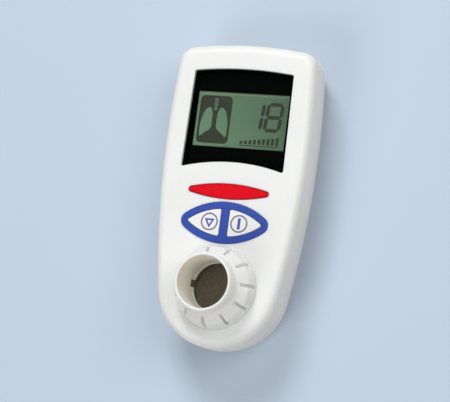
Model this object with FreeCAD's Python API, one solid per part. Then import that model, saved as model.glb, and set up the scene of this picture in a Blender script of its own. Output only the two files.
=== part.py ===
"""A hand-held hydrogen breath analyzer, built piece by piece in millimetres.

The meter lies on its back. +Z points out of the display face, +Y towards the display end and +X to the
reader's right. The origin is on the resting face, under the middle of the case.
"""
import FreeCAD
import Part
import math
import os

# Case: outline, thickness and walls
CASE_LENGTH = 131.4
DISPLAY_END = CASE_LENGTH / 2
PORT_END = -CASE_LENGTH / 2
HALF_WIDTH = 32.2
WIDEST_FROM_END = 42.0
WIDEST_Y = DISPLAY_END - WIDEST_FROM_END
SIDE_R = 400.0
TOP_R = 180.0
CORNER_R = 7.0
FACE_Z = 29.0
PARTING_Z = 14.4
PARTING_GROOVE = 0.3
WALL = 2.2
FRONT_ROUND = 4.0
REAR_ROUND = 3.0
REAR_WAIST = 1.1
REAR_TAPER = 3.6
LIP_THICKNESS = 1.0
LIP_HEIGHT = 1.6
LIP_GAP = 0.15

# Breath spout and its flared ring
PORT_FROM_END = 25.5
PORT_Y = PORT_END + PORT_FROM_END
BORE_R = 11.0
SPOUT_WALL = 1.2
SPOUT_RISE = 18.0
BORE_DEPTH = 19.8
LEDGE_WIDTH = 0.4
LEDGE_THICKNESS = 1.2
SLEEVE_WALL = 3.6
SPOUT_SEAT_GAP = 0.1
NOTCH_WIDTH = 3.2
NOTCH_REACH = 2.4
NOTCH_RISE = 2.4
NOTCH_DEG = 175.0
RING_R = 18.0
RING_RISE = 10.4
SHOULDER_R = 16.6
SHOULDER_RISE = 6.4
RING_NECK_ROUND = 1.0
SHOULDER_ROUND = 0.9
RING_FOOT_ROUND = 0.3
LOBE_COUNT = 11
FIRST_GROOVE_DEG = 4.0
LOBE_SPAN_DEG = 28.0
LOBE_EDGE_ROUND = 0.6
GROOVE_START_R = 13.6
GROOVE_DEPTH = 1.5
GROOVE_LIP = 1.2

# Keys and badge
KEYS_FROM_PORT = 27.7
KEYS_Y = PORT_Y + KEYS_FROM_PORT
LEAF_HALF_LENGTH = 19.4
LEAF_HALF_HEIGHT = 9.0
LEAF_TIP_R = 3.7
LEAF_BAND = 2.9
DIVIDER_WIDTH = 3.5
LEAF_RECESS = 1.0
LEAF_PROUD = 0.3
KEY_GAP = 0.2
KEY_SUNK = 0.1
KEY_TRAVEL = 0.7
KEY_CORNER_R = 0.7
KEY_FLANGE = 1.0
KEY_FLANGE_THICKNESS = 1.1
KEY_FLANGE_PLAY = 0.15
KEY_STEM_R = 2.2
SWITCH_X = 7.2
BADGE_FROM_KEYS = 13.5
BADGE_Y = KEYS_Y + BADGE_FROM_KEYS
BADGE_HALF_LENGTH = 18.0
BADGE_HALF_HEIGHT = 3.4
BADGE_TIP_R = 1.3
BADGE_THICKNESS = 0.9
BADGE_RECESS = 0.6
BADGE_EDGE_ROUND = 0.25
INSET_GAP = 0.08

# Window and display
WINDOW_INSET_TOP = 9.9
WINDOW_INSET_BOTTOM = 9.2
WINDOW_HALF_TOP = HALF_WIDTH - WINDOW_INSET_TOP
WINDOW_HALF_BOTTOM = HALF_WIDTH - WINDOW_INSET_BOTTOM
WINDOW_FROM_END = 12.5
WINDOW_FROM_BADGE = 9.4
WINDOW_TOP_Y = DISPLAY_END - WINDOW_FROM_END
WINDOW_BOTTOM_Y = BADGE_Y + WINDOW_FROM_BADGE
WINDOW_TOP_BOW = 1.5
WINDOW_BOTTOM_BOW = 3.3
WINDOW_CORNER_R = 0.9
WINDOW_GAP = 0.12
WINDOW_THICKNESS = 1.5
WINDOW_SUNK = 0.1
BEZEL_RIM = 0.8
BEZEL_FLANGE = 1.1
BEZEL_FLOOR_TOP = 25.2
BEZEL_FLOOR = 0.6
SCREEN_INSET = 11.6
SCREEN_HALF = HALF_WIDTH - SCREEN_INSET
SCREEN_BELOW_TOP = 8.3
SCREEN_ABOVE_BOTTOM = 10.3
SCREEN_TOP_Y = WINDOW_TOP_Y - SCREEN_BELOW_TOP
SCREEN_BOTTOM_Y = WINDOW_BOTTOM_Y + SCREEN_ABOVE_BOTTOM
GLASS_INSET = 9.2
GLASS_HALF = HALF_WIDTH - GLASS_INSET
GLASS_BELOW_TOP = 4.6
GLASS_ABOVE_BOTTOM = 4.2
GLASS_TOP_Y = WINDOW_TOP_Y - GLASS_BELOW_TOP
GLASS_BOTTOM_Y = WINDOW_BOTTOM_Y + GLASS_ABOVE_BOTTOM
GLASS_THICKNESS = 2.0
GLASS_FRAME_WALL = 0.9
GLASS_FRAME_GAP = 0.15
BACKLIGHT_THICKNESS = 2.2
STRIP_WIDTH = 2.4
STRIP_INSET = 3.0

# Main board and what it carries
BOARD_TOP = 18.0
BOARD_THICKNESS = 1.6
BOARD_EDGE_GAP = 1.0
BOARD_FROM_PORT = 17.7
BOARD_FROM_END = 13.7
BOARD_Y0 = PORT_Y + BOARD_FROM_PORT
BOARD_Y1 = DISPLAY_END - BOARD_FROM_END
SWITCH_SIZE = 6.2
SWITCH_HEIGHT = 3.6
PLUNGER_R = 1.7
PLUNGER_GAP = 0.08
PLUNGER_TOP = 23.2
PLUNGER_REST_Z = 19.8
SOUNDER_INSET = 13.2
SOUNDER_X = SOUNDER_INSET - HALF_WIDTH
SOUNDER_FROM_KEYS = 0.5
SOUNDER_R = 6.0
SOUNDER_HEIGHT = 2.0
CHIP_X = 10.0
CHIP_FROM_KEYS = 2.5
CHIP_SIZE = 10.0
CHIP_HEIGHT = 1.6
STANDOFF_R = 2.2
UPPER_STANDOFF_INSET = 5.6
UPPER_STANDOFF_FROM_END = 31.7
LOWER_STANDOFF_INSET = 6.4
LOWER_STANDOFF_FROM_PORT = 39.2
BOARD_SCREW_R = 0.9
BOARD_SCREW_HEAD_R = 1.9
BOARD_SCREW_HEAD = 1.4
BOARD_SCREW_LENGTH = 5.0

# Case screws
TOP_BOSS_INSET = 0.2
LOW_BOSS_INSET = 6.1
LOW_BOSS_DEG = 41.6
BOSS_R = 2.5
BOSS_GAP = 0.1
CASE_SCREW_R = 1.3
CASE_SCREW_HOLE_GAP = 0.2
CASE_SCREW_HEAD_R = 2.0
CASE_SCREW_HEAD = 1.7
CASE_SCREW_LENGTH = 18.0
CROSS_REACH = 1.25
CROSS_WIDTH = 0.65
CROSS_DEPTH = 1.0
SCREW_HEAD_ROUND = 0.6
COUNTERBORE_DEPTH = 4.0
COUNTERBORE_GAP = 0.2

# Sample chamber, sensor and outlet
CHAMBER_WALL = 1.8
CHAMBER_INNER_R = 12.6
CHAMBER_FLOOR_Z = 15.0
CHAMBER_FLOOR = 1.4
SEAL_THICKNESS = 1.0
FILTER_THICKNESS = 1.0
FILTER_GAP = 0.1
SENSOR_WINDOW_R = 6.0
SENSOR_R = 10.1
SENSOR_HEIGHT = 8.4
SENSOR_SEAL_THICKNESS = 1.0
SENSOR_SEAL_R = 8.4
PIN_R = 0.75
PIN_CIRCLE_R = 6.75
PIN_COUNT = 3
SENSOR_BOARD_R = 12.2
SENSOR_BOARD_THICKNESS = 1.6
SENSOR_SPACE_GAP = 0.5
SEAT_RIB_WIDTH = 1.2
DUCT_HALF_WIDTH = 7.0
DUCT_GAP = 0.2
DUCT_WALL = 1.2
DUCT_TOP = 22.0
DUCT_MOUTH_HEIGHT = 4.0
OUTLET_SLOTS = 5
OUTLET_SLOT_WIDTH = 1.2
OUTLET_SLOT_MARGIN = 0.4
OUTLET_PITCH = 2.3

# Battery bay, its door, cells and contacts
CELL_COUNT = 3
CELL_R = 5.25
CELL_LENGTH = 44.5
CELL_NUB_R = 1.9
CELL_NUB = 1.0
CELL_PITCH = 11.0
CELL_LIFT = 0.2
BAY_SIDE_GAP = 0.95
BAY_FROM_END = 10.7
BAY_END_SPACE = 3.5
BAY_WALL = 1.2
BAY_ROOF_GAP = 0.4
CONTACT_SIZE = 8.6
CONTACT_SHEET = 0.4
CONTACT_BOW_WIDTH = 4.0
CONTACT_TOUCH_GAP = 0.05
DOOR_THICKNESS = 1.8
DOOR_MARGIN = 2.0
DOOR_GAP = 0.2
DOOR_TONGUE = 1.0
DOOR_TONGUE_THICKNESS = 0.9
DOOR_FRONT_LAP = 1.5
GRIP_GROOVES = 5
GRIP_PITCH = 2.6
GRIP_WIDTH = 1.2
GRIP_DEPTH = 0.5
GRIP_LENGTH = 16.0
GRIP_FROM_END = 17.0
STEP = 1.0

V = FreeCAD.Vector
UP = V(0, 0, 1)
UNDERSIDE_Z = FACE_Z - WALL
SPOUT_TOP = FACE_Z + SPOUT_RISE
BORE_FLOOR = SPOUT_TOP - BORE_DEPTH
SLEEVE_END = BORE_FLOOR - LEDGE_THICKNESS
BOARD_BOTTOM = BOARD_TOP - BOARD_THICKNESS
GLASS_TOP = BEZEL_FLOOR_TOP - BEZEL_FLOOR
GLASS_BOTTOM = GLASS_TOP - GLASS_THICKNESS
CHAMBER_R = CHAMBER_INNER_R + CHAMBER_WALL
SENSOR_SPACE_R = SENSOR_BOARD_R + SENSOR_SPACE_GAP
DUCT_INSET = REAR_TAPER + REAR_ROUND + DUCT_GAP
CHANNEL_INSET = DUCT_INSET + DUCT_WALL
CHANNEL_INNER_R = SENSOR_SPACE_R + DUCT_WALL
BAY_HALF = (CELL_COUNT - 1) / 2 * CELL_PITCH + CELL_R + BAY_SIDE_GAP
BAY_Y1 = DISPLAY_END - BAY_FROM_END
BAY_Y0 = BAY_Y1 - CELL_LENGTH - 2 * BAY_END_SPACE
CELL_Z = DOOR_THICKNESS + CELL_LIFT + CELL_R
BAY_ROOF = CELL_Z + CELL_R + BAY_ROOF_GAP
DOOR_HALF = BAY_HALF + DOOR_MARGIN
DOOR_Y0 = BAY_Y0 - DOOR_FRONT_LAP


def toward(start, through, distance):
    """The point at a distance from start, in the direction of another point, in the plane."""
    dx, dy = through[0] - start[0], through[1] - start[1]
    length = math.hypot(dx, dy)
    return (start[0] + dx / length * distance, start[1] + dy / length * distance)


def mirrored(point):
    """The same point on the other side of the centre line."""
    return (-point[0], point[1])


def arc(start, middle, end, z):
    """An arc through three points of a plane at height z."""
    return Part.Arc(*[V(p[0], p[1], z) for p in (start, middle, end)]).toShape()


def line(start, end, z):
    """A straight edge between two points of a plane at height z."""
    return Part.LineSegment(V(start[0], start[1], z), V(end[0], end[1], z)).toShape()


def prism(wire, z_top):
    """The solid between a flat wire and a higher level."""
    bottom = wire.BoundBox.ZMin
    return Part.Face(wire).extrude(V(0, 0, z_top - bottom))


def block(x0, x1, y0, y1, z0, z1):
    """A box given by its corners."""
    return Part.makeBox(x1 - x0, y1 - y0, z1 - z0, V(x0, y0, z0))


def rod(x, y, z0, z1, radius):
    """An upright cylinder."""
    return Part.makeCylinder(radius, z1 - z0, V(x, y, z0), UP)


def tube(x, y, z0, z1, outer, inner):
    """An upright tube."""
    return rod(x, y, z0, z1, outer).cut(rod(x, y, z0 - STEP, z1 + STEP, inner))


def middle_of(edge):
    """The point half way along an edge."""
    return edge.valueAt((edge.FirstParameter + edge.LastParameter) / 2)


def rounded(solid, radius, wanted):
    """The solid with the edges whose middle point is wanted rounded off."""
    return solid.makeFillet(radius, [e for e in solid.Edges if wanted(middle_of(e))])


def upright(edge):
    """True for an edge that runs along Z."""
    a, b = edge.Vertexes[0].Point, edge.Vertexes[-1].Point
    return math.hypot(a.x - b.x, a.y - b.y) < 1e-6 and abs(a.z - b.z) > 1e-6


def round_uprights(solid, radius):
    """The solid with its upright edges rounded off."""
    return solid.makeFillet(radius, [e for e in solid.Edges if upright(e)])


def one_solid(shape):
    """The single solid that a boolean operation left, with its split faces merged."""
    return shape.removeSplitter().Solids[0]


def save(name, *solids):
    """Writes one node's solids to its own file."""
    shape = solids[0] if len(solids) == 1 else Part.makeCompound(list(solids))
    shape.exportStep(os.path.join("parts", name + ".step"))


def case_centres():
    """The centres of the outline's arcs and the radius of its lower end."""
    side = (HALF_WIDTH - SIDE_R, WIDEST_Y)
    top = (0.0, DISPLAY_END - TOP_R)
    rise = WIDEST_Y - PORT_END
    end_r = (SIDE_R ** 2 - side[0] ** 2 - rise ** 2) / (2 * (SIDE_R - rise))
    end = (0.0, PORT_END + end_r)
    # the corner arc touches the side arc and the top arc from inside
    a, b = SIDE_R - CORNER_R, TOP_R - CORNER_R
    span = math.hypot(top[0] - side[0], top[1] - side[1])
    along = (a * a - b * b + span * span) / (2 * span)
    off = math.sqrt(a * a - along * along)
    foot = toward(side, top, along)
    ux, uy = (top[0] - side[0]) / span, (top[1] - side[1]) / span
    corner = (foot[0] - uy * off, foot[1] + ux * off)
    return side, top, end, end_r, corner


SIDE_C, TOP_C, END_C, END_R, CORNER_C = case_centres()


def case_wire(inset, z):
    """The case's outline, moved in by inset, at height z."""
    low = toward(SIDE_C, END_C, SIDE_R - inset)
    high = toward(SIDE_C, CORNER_C, SIDE_R - inset)
    shoulder = toward(TOP_C, CORNER_C, TOP_R - inset)
    bisector = ((high[0] + shoulder[0]) / 2, (high[1] + shoulder[1]) / 2)
    corner = toward(CORNER_C, bisector, CORNER_R - inset)
    side = (HALF_WIDTH - inset, WIDEST_Y)
    top, bottom = (0.0, DISPLAY_END - inset), (0.0, PORT_END + inset)
    return Part.Wire([
        arc(low, side, high, z),
        arc(high, corner, shoulder, z),
        arc(shoulder, top, mirrored(shoulder), z),
        arc(mirrored(shoulder), mirrored(corner), mirrored(high), z),
        arc(mirrored(high), mirrored(side), mirrored(low), z),
        arc(mirrored(low), bottom, low, z),
    ])


def window_prism(grow, z0, z1):
    """A block with the window's outline: bowed top and bottom, sides that part downwards."""
    top_y, bottom_y = WINDOW_TOP_Y + grow, WINDOW_BOTTOM_Y - grow
    upper, lower = (WINDOW_HALF_TOP + grow, top_y), (WINDOW_HALF_BOTTOM + grow, bottom_y)
    wire = Part.Wire([
        arc(mirrored(upper), (0.0, top_y + WINDOW_TOP_BOW), upper, z0),
        line(upper, lower, z0),
        arc(lower, (0.0, bottom_y + WINDOW_BOTTOM_BOW), mirrored(lower), z0),
        line(mirrored(lower), mirrored(upper), z0),
    ])
    return round_uprights(prism(wire, z1), WINDOW_CORNER_R)


def leaf_wire(half_length, half_height, tip_r, inset, centre_y, z):
    """A leaf outline: two long arcs and two small tip arcs, all tangent, moved in by inset."""
    reach = half_length - tip_r
    long_r = (reach ** 2 + half_height ** 2 - tip_r ** 2) / (2 * (half_height - tip_r))
    arcs = []
    for sign in (1, -1):
        centre = (0.0, -sign * (long_r - half_height))
        right = toward(centre, (reach, 0.0), long_r - inset)
        crown = (0.0, sign * (half_height - inset))
        arcs.append((right, crown, mirrored(right)))
    tip = (half_length - inset, 0.0)

    def placed(point):
        return (point[0], point[1] + centre_y)

    (r1, c1, l1), (r2, c2, l2) = arcs
    return Part.Wire([
        arc(placed(r1), placed(c1), placed(l1), z),
        arc(placed(l1), placed(mirrored(tip)), placed(l2), z),
        arc(placed(l2), placed(c2), placed(r2), z),
        arc(placed(r2), placed(tip), placed(r1), z),
    ])


def key_leaf(inset, z0, z1):
    """A block with the key leaf's outline moved in by inset."""
    wire = leaf_wire(LEAF_HALF_LENGTH, LEAF_HALF_HEIGHT, LEAF_TIP_R, inset, KEYS_Y, z0)
    return prism(wire, z1)


def badge_leaf(inset, z0, z1):
    """A block with the badge's outline moved in by inset."""
    wire = leaf_wire(BADGE_HALF_LENGTH, BADGE_HALF_HEIGHT, BADGE_TIP_R, inset, BADGE_Y, z0)
    return prism(wire, z1)


def half_leaf(sign, inset, from_middle, z0, z1):
    """One side of the key leaf, cut off at a distance from the middle."""
    reach = sign * from_middle, sign * LEAF_HALF_LENGTH
    half = block(min(reach), max(reach), KEYS_Y - LEAF_HALF_HEIGHT, KEYS_Y + LEAF_HALF_HEIGHT, z0, z1)
    solid = key_leaf(inset, z0, z1).common(half).Solids[0]
    inner = [e for e in solid.Edges if upright(e) and abs(abs(middle_of(e).x) - from_middle) < 1e-4]
    return solid.makeFillet(KEY_CORNER_R, inner)


def boss_places():
    """Where the four case screws stand."""
    top = (CORNER_C[0] + TOP_BOSS_INSET / 2, CORNER_C[1] + TOP_BOSS_INSET)
    turn, reach = math.radians(LOW_BOSS_DEG), END_R - LOW_BOSS_INSET
    low = (END_C[0] + reach * math.cos(turn), END_C[1] - reach * math.sin(turn))
    return [top, mirrored(top), low, mirrored(low)]


def standoff_places():
    """Where the four board screws stand."""
    upper = (HALF_WIDTH - UPPER_STANDOFF_INSET, DISPLAY_END - UPPER_STANDOFF_FROM_END)
    lower = (HALF_WIDTH - LOWER_STANDOFF_INSET, PORT_Y + LOWER_STANDOFF_FROM_PORT)
    return [place for right in (upper, lower) for place in (right, mirrored(right))]


def ring_slope():
    """How far the ring's upper face falls for each millimetre outwards."""
    return (RING_RISE - SHOULDER_RISE) / (SHOULDER_R - BORE_R - SPOUT_WALL)


def lip_r():
    """The ring's radius at the level where the grooves end."""
    return RING_R - (RING_R - SHOULDER_R) / SHOULDER_RISE * GROOVE_LIP


def turned(profile, angle=360.0):
    """The solid that a section of (radius, height) points makes, turned about the port's axis."""
    points = [V(r, 0, z) for r, z in profile]
    solid = Part.Face(Part.makePolygon(points + points[:1])).revolve(V(0, 0, 0), UP, angle)
    solid.rotate(V(0, 0, 0), UP, -angle / 2)
    return solid


def at_ring(radius, level):
    """A test for the middle of a circular edge about the Z axis."""
    return lambda p: abs(math.hypot(p.x, p.y) - radius) < 1e-3 and abs(p.z - level) < 1e-3


def lobe():
    """One cushion of the flared ring, its shoulder and sides rounded, pointing along X."""
    spout_r = BORE_R + SPOUT_WALL
    base_z, shoulder_z = FACE_Z + GROOVE_LIP, FACE_Z + SHOULDER_RISE
    start_r = (spout_r + GROOVE_START_R) / 2
    start_z = FACE_Z + RING_RISE - ring_slope() * (start_r - spout_r)
    profile = [(start_r, base_z), (lip_r(), base_z), (SHOULDER_R, shoulder_z), (start_r, start_z)]
    solid = rounded(turned(profile, LOBE_SPAN_DEG), SHOULDER_ROUND, at_ring(SHOULDER_R, shoulder_z))
    half = math.radians(LOBE_SPAN_DEG / 2)

    def on_side(p):
        reach = math.hypot(p.x, p.y)
        on_plane = abs(abs(math.atan2(p.y, p.x)) - half) < 1e-4
        return on_plane and reach > start_r + 1e-3 and p.z > base_z + 1e-3

    return rounded(solid, LOBE_EDGE_ROUND, on_side)


def spout_core():
    """The spout's tube with its round rim, and the ring as deep as the grooves between the lobes."""
    spout_r = BORE_R + SPOUT_WALL
    lip = SPOUT_WALL / 2
    rim_z = SPOUT_TOP - lip
    neck_z = FACE_Z + RING_RISE
    start_z = neck_z - ring_slope() * (GROOVE_START_R - spout_r)
    floor = [
        (GROOVE_START_R, start_z), (GROOVE_START_R, start_z - GROOVE_DEPTH),
        (SHOULDER_R - GROOVE_DEPTH, FACE_Z + SHOULDER_RISE - GROOVE_DEPTH),
        (RING_R - GROOVE_DEPTH, FACE_Z + GROOVE_LIP),
    ]
    foot = [(lip_r(), FACE_Z + GROOVE_LIP), (RING_R, FACE_Z)]
    sleeve_r = BORE_R + SLEEVE_WALL
    sleeve = [(sleeve_r, FACE_Z), (sleeve_r, SLEEVE_END), (0, SLEEVE_END), (0, rim_z), (BORE_R, rim_z)]
    corners = [V(r, 0, z) for r, z in [(spout_r, rim_z), (spout_r, neck_z)] + floor + foot + sleeve]
    edges = [Part.LineSegment(a, b).toShape() for a, b in zip(corners, corners[1:])]
    edges.append(Part.Arc(corners[-1], V(BORE_R + lip, 0, SPOUT_TOP), corners[0]).toShape())
    core = Part.Face(Part.Wire(edges)).revolve(V(0, 0, 0), UP, 360)
    core = rounded(core, RING_NECK_ROUND, at_ring(spout_r, neck_z))
    return rounded(core, RING_FOOT_ROUND, at_ring(RING_R, FACE_Z))


def breath_spout():
    """The upright spout: tube, lobed ring, bore, ledge and keyway, seated in the face."""
    cushions = []
    for i in range(LOBE_COUNT):
        cushion = lobe()
        cushion.rotate(V(0, 0, 0), UP, FIRST_GROOVE_DEG + 360.0 * (i + 0.5) / LOBE_COUNT)
        cushions.append(cushion)
    body = spout_core().multiFuse(cushions)
    half = NOTCH_WIDTH / 2
    keyway = block(0, BORE_R + NOTCH_REACH, -half, half, SLEEVE_END - STEP, BORE_FLOOR + NOTCH_RISE)
    keyway.rotate(V(0, 0, 0), UP, NOTCH_DEG)
    body = body.cut(rod(0, 0, BORE_FLOOR, SPOUT_TOP, BORE_R)).cut(keyway)
    body = one_solid(body.cut(rod(0, 0, SLEEVE_END - STEP, SPOUT_TOP, BORE_R - LEDGE_WIDTH)))
    body.translate(V(0, PORT_Y, 0))
    return body


def front_cover():
    """The front half of the case: face, walls, openings, bosses and standoffs."""
    # the sides are turned into spline surfaces first, so that the long rounding follows them smoothly
    outer = prism(case_wire(0, PARTING_Z), FACE_Z).toNurbs()
    outer = rounded(outer, FRONT_ROUND, lambda p: abs(p.z - FACE_Z) < 1e-6)
    inner = prism(case_wire(WALL, PARTING_Z - STEP), UNDERSIDE_Z)
    inner = rounded(inner, FRONT_ROUND - WALL, lambda p: abs(p.z - UNDERSIDE_Z) < 1e-6)
    rebate = prism(case_wire(WALL - LIP_THICKNESS - LIP_GAP, PARTING_Z - STEP),
                   PARTING_Z + LIP_HEIGHT + LIP_GAP)
    groove_top = PARTING_Z + PARTING_GROOVE
    groove = prism(case_wire(-STEP, PARTING_Z), groove_top)
    groove = groove.cut(prism(case_wire(PARTING_GROOVE, PARTING_Z), groove_top))
    body = outer.cut(inner).cut(rebate).cut(groove)
    body = body.cut(rod(0, PORT_Y, UNDERSIDE_Z - STEP, FACE_Z + STEP, BORE_R + SLEEVE_WALL + SPOUT_SEAT_GAP))
    inside = prism(case_wire(WALL / 2, PARTING_Z), FACE_Z)
    for x, y in boss_places():
        post = rod(x, y, PARTING_Z + STEP, UNDERSIDE_Z + WALL / 2, BOSS_R).common(inside)
        pilot = rod(x, y, PARTING_Z, COUNTERBORE_DEPTH + CASE_SCREW_LENGTH, CASE_SCREW_R)
        body = body.fuse(post).cut(pilot)
    for x, y in standoff_places():
        post = rod(x, y, BOARD_TOP, UNDERSIDE_Z + WALL / 2, STANDOFF_R).common(inside)
        body = body.fuse(post).cut(rod(x, y, BOARD_TOP - STEP, BOARD_TOP + BOARD_SCREW_LENGTH, BOARD_SCREW_R))
    body = body.cut(window_prism(0, UNDERSIDE_Z - STEP, FACE_Z + STEP))
    body = body.cut(key_leaf(-INSET_GAP, FACE_Z - LEAF_RECESS, FACE_Z + STEP))
    for sign in (1, -1):
        body = body.cut(half_leaf(sign, LEAF_BAND, DIVIDER_WIDTH / 2, UNDERSIDE_Z - STEP, FACE_Z + STEP))
    body = body.cut(badge_leaf(-INSET_GAP, FACE_Z - BADGE_RECESS, FACE_Z + STEP))
    return one_solid(body)


def rear_form(inset):
    """The rear half's form moved in by inset: drawn in towards the back in a soft curve, its edge rounded."""
    blank = Part.makeLoft([
        case_wire(REAR_TAPER + inset, inset),
        case_wire(REAR_WAIST + inset, PARTING_Z / 2),
        case_wire(inset, PARTING_Z),
    ], True, False)
    return rounded(blank, REAR_ROUND - inset, lambda p: abs(p.z - inset) < 1e-6)


def door_space(gap):
    """The room that the battery door fills: a plate with a tongue along each side, open at the end."""
    end = DISPLAY_END + STEP
    y0 = DOOR_Y0 - gap
    tongue_z = DOOR_THICKNESS - DOOR_TONGUE_THICKNESS
    half = DOOR_HALF + gap
    plate = block(-half, half, y0, end, -STEP, DOOR_THICKNESS + gap)
    wide = block(-half - DOOR_TONGUE, half + DOOR_TONGUE, y0, end, tongue_z - gap, DOOR_THICKNESS + gap)
    return plate.fuse(wide).removeSplitter()


def outlet_slots(z0, z1):
    """The slots that let the breath out under the duct."""
    y0, y1 = PORT_END + CHANNEL_INSET, PORT_Y - CHANNEL_INNER_R
    y = (y0 + y1) / 2
    slots = []
    for i in range(OUTLET_SLOTS):
        x = (i - (OUTLET_SLOTS - 1) / 2) * OUTLET_PITCH
        half_w, half_l = OUTLET_SLOT_WIDTH / 2, (y1 - y0) / 2 - OUTLET_SLOT_MARGIN
        slot = block(x - half_w, x + half_w, y - half_l + half_w, y + half_l - half_w, z0, z1)
        for end in (-1, 1):
            slot = slot.fuse(rod(x, y + end * (half_l - half_w), z0, z1, half_w))
        slots.append(slot)
    return slots


def rear_cover():
    """The rear half of the case with its lip, battery bay, door track, bosses and outlet slots."""
    body = rear_form(0).cut(rear_form(WALL))
    lip = prism(case_wire(WALL - LIP_THICKNESS, PARTING_Z - STEP), PARTING_Z + LIP_HEIGHT)
    lip = lip.cut(prism(case_wire(WALL, PARTING_Z - 2 * STEP), PARTING_Z + LIP_HEIGHT + STEP))
    body = body.fuse(lip)
    inside = rear_form(WALL / 2)
    half = BAY_HALF + BAY_WALL
    bay = block(-half, half, BAY_Y0 - BAY_WALL, BAY_Y1 + BAY_WALL, WALL / 2, BAY_ROOF + BAY_WALL)
    body = body.fuse(bay.common(inside))
    track = DOOR_HALF + DOOR_TONGUE + DOOR_GAP + BAY_WALL
    roof = block(-track, track, DOOR_Y0 - DOOR_GAP - BAY_WALL, DISPLAY_END, WALL / 2,
                 DOOR_THICKNESS + DOOR_GAP + BAY_WALL)
    body = body.fuse(roof.common(inside))
    body = body.cut(block(-BAY_HALF, BAY_HALF, BAY_Y0, BAY_Y1, -STEP, BAY_ROOF))
    body = body.cut(door_space(DOOR_GAP))
    post_room = inside.fuse(prism(case_wire(WALL, PARTING_Z), PARTING_Z + STEP))
    for x, y in boss_places():
        body = body.fuse(rod(x, y, WALL / 2, PARTING_Z + STEP - BOSS_GAP, BOSS_R).common(post_room))
        body = body.cut(rod(x, y, -STEP, COUNTERBORE_DEPTH, CASE_SCREW_HEAD_R + COUNTERBORE_GAP))
        body = body.cut(rod(x, y, -STEP, PARTING_Z + 2 * STEP, CASE_SCREW_R + CASE_SCREW_HOLE_GAP))
    body = body.fuse(sensor_seat())
    for slot in outlet_slots(-STEP, WALL + STEP):
        body = body.cut(slot)
    return one_solid(body)


def sensor_seat():
    """The round rib that carries the sensor board."""
    top = sensor_board_z()
    return tube(0, PORT_Y, WALL / 2, top, SENSOR_BOARD_R, SENSOR_BOARD_R - SEAT_RIB_WIDTH)


def sensor_base_z():
    """The underside of the sensor's can."""
    return CHAMBER_FLOOR_Z - SENSOR_SEAL_THICKNESS - SENSOR_HEIGHT


def sensor_board_z():
    """The underside of the sensor board."""
    return sensor_base_z() - SENSOR_BOARD_THICKNESS


def battery_door():
    """The sliding door: a plate cut from the rear form, with tongues and grip grooves."""
    end = DISPLAY_END + STEP
    tongue_z = DOOR_THICKNESS - DOOR_TONGUE_THICKNESS
    plate = block(-DOOR_HALF, DOOR_HALF, DOOR_Y0, end, -STEP, DOOR_THICKNESS)
    wide = block(-DOOR_HALF - DOOR_TONGUE, DOOR_HALF + DOOR_TONGUE, DOOR_Y0, end, tongue_z, DOOR_THICKNESS)
    body = plate.fuse(wide).common(rear_form(0))
    for i in range(GRIP_GROOVES):
        y = DISPLAY_END - GRIP_FROM_END + i * GRIP_PITCH
        shift = GRIP_WIDTH - GRIP_DEPTH
        groove = Part.makeCylinder(GRIP_WIDTH, GRIP_LENGTH, V(-GRIP_LENGTH / 2, y, -shift), V(1, 0, 0))
        body = body.cut(groove)
    return one_solid(body)


def display_window():
    """The clear window, just below the face."""
    top = FACE_Z - WINDOW_SUNK
    return window_prism(-WINDOW_GAP, top - WINDOW_THICKNESS, top)


def lcd_bezel():
    """The black tray behind the window: a rim in the opening, a flange, a floor and a frame for the glass."""
    rim_top = FACE_Z - WINDOW_SUNK - WINDOW_THICKNESS
    rim = window_prism(-WINDOW_GAP, UNDERSIDE_Z - WALL / 2, rim_top)
    flange = window_prism(BEZEL_FLANGE, GLASS_TOP, UNDERSIDE_Z)
    well = window_prism(-WINDOW_GAP - BEZEL_RIM, BEZEL_FLOOR_TOP, rim_top + STEP)
    body = rim.fuse(flange).cut(well)
    screen = block(-SCREEN_HALF, SCREEN_HALF, SCREEN_BOTTOM_Y, SCREEN_TOP_Y, GLASS_TOP - STEP, rim_top)
    body = body.cut(screen)
    inner = GLASS_HALF + GLASS_FRAME_GAP
    outer = inner + GLASS_FRAME_WALL
    y0, y1 = GLASS_BOTTOM_Y - GLASS_FRAME_GAP, GLASS_TOP_Y + GLASS_FRAME_GAP
    frame = block(-outer, outer, y0 - GLASS_FRAME_WALL, y1 + GLASS_FRAME_WALL, GLASS_BOTTOM, GLASS_TOP)
    frame = frame.cut(block(-inner, inner, y0, y1, GLASS_BOTTOM - STEP, GLASS_TOP))
    return one_solid(body.fuse(frame))


def glass_block(y0, y1, z0, z1, half):
    """A block centred across the case."""
    return block(-half, half, y0, y1, z0, z1)


def lcd_panel():
    """The display's glass, with a thinner ledge for its contacts along the lower edge."""
    ledge = GLASS_BOTTOM_Y + STRIP_WIDTH + STEP
    body = glass_block(GLASS_BOTTOM_Y, GLASS_TOP_Y, GLASS_BOTTOM, GLASS_TOP, GLASS_HALF)
    step = glass_block(GLASS_BOTTOM_Y, ledge, GLASS_BOTTOM, GLASS_BOTTOM + GLASS_THICKNESS / 2, GLASS_HALF)
    return body.cut(step)


def lcd_backlight():
    """The light guide behind the glass."""
    y0 = GLASS_BOTTOM_Y + STRIP_WIDTH + 2 * STEP
    return glass_block(y0, GLASS_TOP_Y, GLASS_BOTTOM - BACKLIGHT_THICKNESS, GLASS_BOTTOM, GLASS_HALF - STEP)


def lcd_connector():
    """The elastomer strip that joins the glass ledge to the board."""
    top = GLASS_BOTTOM + GLASS_THICKNESS / 2
    y0 = GLASS_BOTTOM_Y + STEP / 2
    return glass_block(y0, y0 + STRIP_WIDTH, BOARD_TOP, top, GLASS_HALF - STRIP_INSET)


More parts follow.
